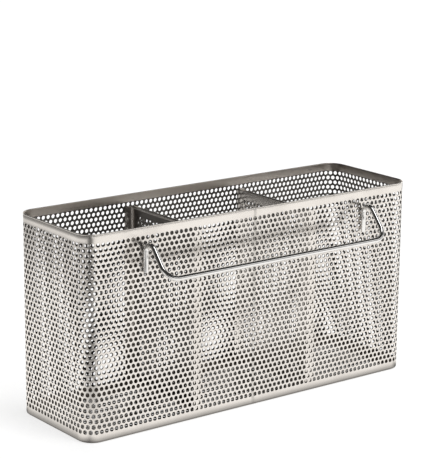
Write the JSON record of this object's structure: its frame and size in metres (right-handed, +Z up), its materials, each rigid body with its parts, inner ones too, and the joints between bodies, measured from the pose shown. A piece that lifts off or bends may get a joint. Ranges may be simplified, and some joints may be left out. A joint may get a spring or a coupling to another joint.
{
  "type": "chopstick holder",
  "caption": "Open-topped rectangular holder of perforated stainless sheet with upright dividers inside and a bent wire hook on its front, for draining chopsticks and utensils.",
  "frame": {"origin": "middle of the box's base, on the plane that it stands on", "axes": "+Z up, X along the long walls, and the wire hook stands out towards -Y"},
  "size_m": [0.2386, 0.0955, 0.12],
  "materials": {
    "perforated_steel": "satin stainless sheet with round perforations",
    "hook_wire": "polished stainless wire"
  },
  "bodies": {
    "root": {"wall_strip": "perforated_steel", "floor_panel": "perforated_steel", "left_divider": "perforated_steel", "right_divider": "perforated_steel", "hanging_hook": "hook_wire"}
  },
  "joints": []
}
